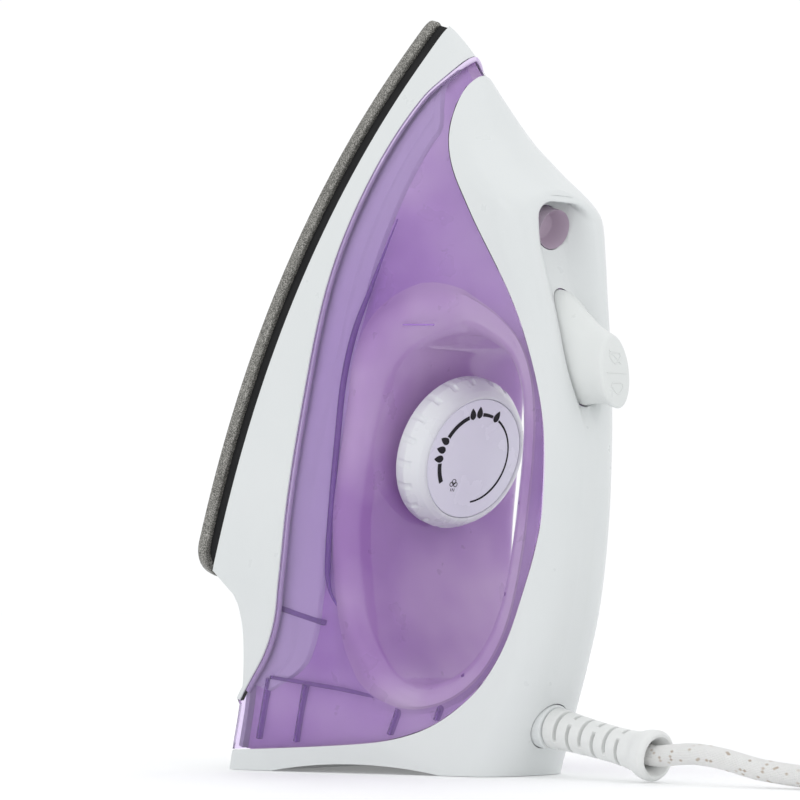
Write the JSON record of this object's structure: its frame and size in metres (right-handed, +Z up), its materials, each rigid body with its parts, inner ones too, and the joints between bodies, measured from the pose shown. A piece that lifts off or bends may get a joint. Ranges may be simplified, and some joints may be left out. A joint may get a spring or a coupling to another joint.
{
  "type": "steam iron",
  "caption": "Upright steam iron resting on its heel, with a clear lilac water tank under an arched handle, a round heat dial, a steam knob and a coiled mains cord.",
  "frame": {"origin": "centre of the footprint of the iron standing on its heel, without its cord, on the table plane", "axes": "+Z up towards the sole tip, +X the way the handle faces, +Y across the iron"},
  "size_m": [0.3177, 0.1698, 0.2652],
  "materials": {
    "housing_white": "satin gloss",
    "tank_lilac": "clear tinted",
    "sole_coating": "dark non-stick coating on cast aluminium",
    "shield_black": "matt, heat resistant",
    "cast_aluminium": "as cast",
    "steel": "plain",
    "brass": "plain",
    "dial_white": "gloss",
    "seal_rubber": "matt",
    "cord_cloth": "braided cotton",
    "plug_vinyl": "soft matt"
  },
  "bodies": {
    "body": {"soleplate": "sole_coating", "heat_shield": "shield_black", "heater_casting": "cast_aluminium", "chamber_lid": "cast_aluminium", "heating_element": "steel", "thermostat": "steel", "thermal_fuse": "steel", "lower_skirt": "housing_white", "heel_underside": "housing_white", "tank_shell": "tank_lilac", "tank_base": "tank_lilac", "tank_bulkhead": "tank_lilac", "tank_top": "tank_lilac", "filler_neck": "tank_lilac", "dial_well": "tank_lilac", "valve_seat": "seal_rubber", "valve_spring": "steel", "upper_cover": "housing_white", "rear_cover": "housing_white", "terminal_block": "plug_vinyl", "cord_clamp": "plug_vinyl", "rear_screw_1": "steel", "rear_screw_2": "steel", "cord_lead": "cord_cloth", "cord_coil": "cord_cloth", "cord_tail": "cord_cloth", "plug_body": "plug_vinyl", "plug_pin_left": "steel", "plug_pin_right": "steel"},
    "dial": {"dial_knob": "dial_white", "dial_face": "dial_white", "thermostat_shaft": "brass"},
    "knob": {"steam_knob": "housing_white", "valve_rod": "steel"},
    "swivel": {"swivel_sleeve": "housing_white", "cord_guard": "plug_vinyl"}
  },
  "joints": [
    {"name": "dial_turn", "type": "hinge", "parent": "body", "child": "dial", "pos_m": [0.00124, 0, 0.11093], "axis": [0.9497, 0, -0.3132], "range_deg": [-125, 180]},
    {"name": "knob_press", "type": "slide", "parent": "body", "child": "knob", "axis": [-0.9497, 0, 0.3132], "range_m": [0, 0.004], "stiffness_N_per_m": 600},
    {"name": "cord_swivel", "type": "hinge", "parent": "body", "child": "swivel", "pos_m": [0.0296, 0, 0.0196], "axis": [0.9854, 0, -0.1702], "continuous": true}
  ]
}
